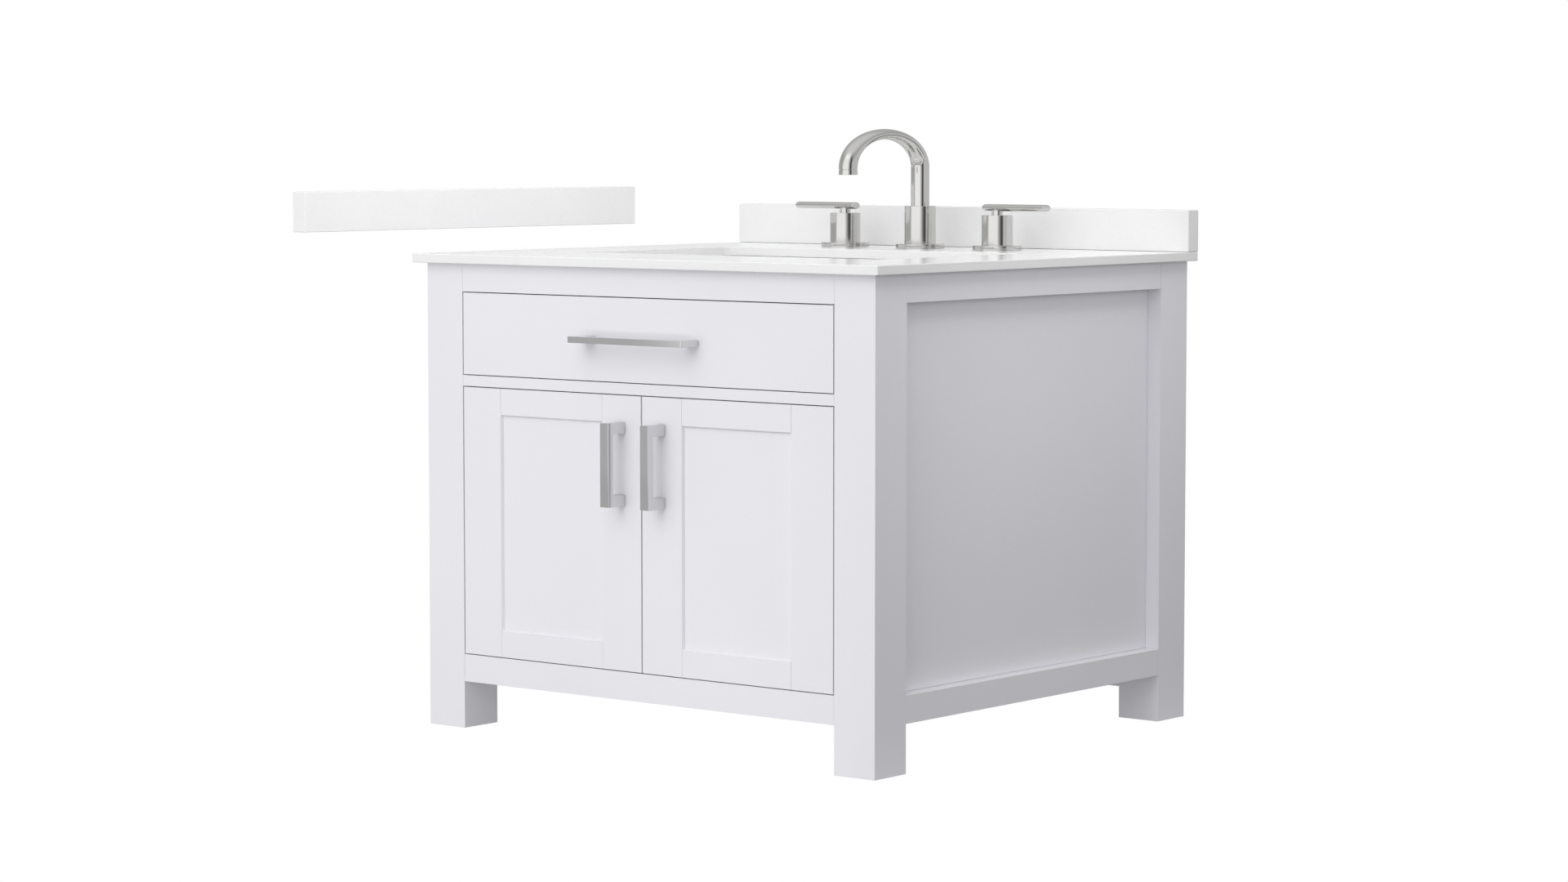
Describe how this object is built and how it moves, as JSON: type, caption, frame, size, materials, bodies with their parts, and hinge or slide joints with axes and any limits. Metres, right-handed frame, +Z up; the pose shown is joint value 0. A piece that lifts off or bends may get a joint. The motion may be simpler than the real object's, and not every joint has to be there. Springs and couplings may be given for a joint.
{
  "type": "bathroom vanity cabinet",
  "caption": "Freestanding vanity with a framed cabinet, shaker doors, a drawer, a stone top, an undermount basin and a widespread faucet.",
  "frame": {"origin": "on the floor under the middle of the cabinet's footprint", "axes": "+Z up, -Y towards the front (doors and drawer), +X to the right seen from the front"},
  "size_m": [1.2229, 0.8858, 0.9682],
  "materials": {
    "paint": "satin white paint on wood",
    "stone": "polished white engineered stone, opaque",
    "ceramic": "glazed white vitreous china, opaque",
    "birch": "clear-coated birch",
    "satin_nickel": "satin nickel",
    "bright_nickel": "bright brushed nickel",
    "zinc": "zinc-plated steel"
  },
  "bodies": {
    "cabinet": {"leg_front_left": "paint", "leg_front_right": "paint", "leg_rear_left": "paint", "leg_rear_right": "paint", "front_top_rail": "paint", "front_mid_rail": "paint", "front_bottom_rail": "paint", "side_top_rail_left": "paint", "side_top_rail_right": "paint", "side_bottom_rail_left": "paint", "side_bottom_rail_right": "paint", "side_panel_left": "paint", "side_panel_right": "paint", "runner_batten_left": "birch", "runner_batten_right": "birch", "back_top_rail": "paint", "back_bottom_rail": "paint", "cabinet_floor": "paint", "left_hinge_arm_lower": "zinc", "left_hinge_arm_upper": "zinc", "right_hinge_arm_lower": "zinc", "right_hinge_arm_upper": "zinc", "outer_runner_left": "zinc", "outer_runner_right": "zinc", "countertop": "stone", "backsplash": "stone", "basin": "ceramic", "drain_body": "bright_nickel", "spout_body": "bright_nickel", "hot_handle_body": "bright_nickel", "cold_handle_body": "bright_nickel"},
    "drawer": {"drawer_front": "paint", "drawer_side_left": "birch", "drawer_side_right": "birch", "drawer_bottom": "birch", "drawer_back": "birch", "drawer_pull": "satin_nickel", "inner_runner_left": "zinc", "inner_runner_right": "zinc"},
    "runner_middle": {"middle_runner_left": "zinc", "middle_runner_right": "zinc"},
    "left_door": {"left_door_hinge_stile": "paint", "left_door_meeting_stile": "paint", "left_door_bottom_rail": "paint", "left_door_top_rail": "paint", "left_door_panel": "paint", "left_door_pull": "satin_nickel"},
    "right_door": {"right_door_hinge_stile": "paint", "right_door_meeting_stile": "paint", "right_door_bottom_rail": "paint", "right_door_top_rail": "paint", "right_door_panel": "paint", "right_door_pull": "satin_nickel"},
    "side_splash_slab": {"side_splash": "stone"},
    "stopper": {"drain_stopper": "bright_nickel"},
    "spout_tube": {"spout": "bright_nickel"},
    "hot_tap": {"hot_lever": "bright_nickel"},
    "cold_tap": {"cold_lever": "bright_nickel"}
  },
  "joints": [
    {"name": "drawer_slide", "type": "slide", "parent": "cabinet", "child": "drawer", "axis": [0, -1, 0], "range_m": [0, 0.42]},
    {"name": "runner_slide", "type": "slide", "parent": "cabinet", "child": "runner_middle", "axis": [0, -1, 0], "range_m": [0, 0.21]},
    {"name": "left_door_hinge", "type": "hinge", "parent": "cabinet", "child": "left_door", "pos_m": [-0.3793, -0.419, 0.338], "axis": [0, 0, -1], "range_deg": [0, 105]},
    {"name": "right_door_hinge", "type": "hinge", "parent": "cabinet", "child": "right_door", "pos_m": [0.3793, -0.419, 0.338], "axis": [0, 0, 1], "range_deg": [0, 105]},
    {"name": "side_splash_slide", "type": "slide", "parent": "cabinet", "child": "side_splash_slab", "axis": [0.9943, 0, -0.1062], "range_m": [0, 0.275]},
    {"name": "stopper_lift", "type": "slide", "parent": "cabinet", "child": "stopper", "axis": [0, 0, 1], "range_m": [0, 0.009]},
    {"name": "spout_swivel", "type": "hinge", "parent": "cabinet", "child": "spout_tube", "pos_m": [0, 0.299, 0.83], "axis": [0, 0, 1], "range_deg": [-60, 60]},
    {"name": "hot_turn", "type": "hinge", "parent": "cabinet", "child": "hot_tap", "pos_m": [-0.16, 0.299, 0.81], "axis": [0, 0, 1], "range_deg": [0, 90]},
    {"name": "cold_turn", "type": "hinge", "parent": "cabinet", "child": "cold_tap", "pos_m": [0.16, 0.299, 0.81], "axis": [0, 0, -1], "range_deg": [0, 90]}
  ],
  "couplings": [
    {"joint": "runner_slide", "follows": "drawer_slide", "ratio": 0.5}
  ]
}
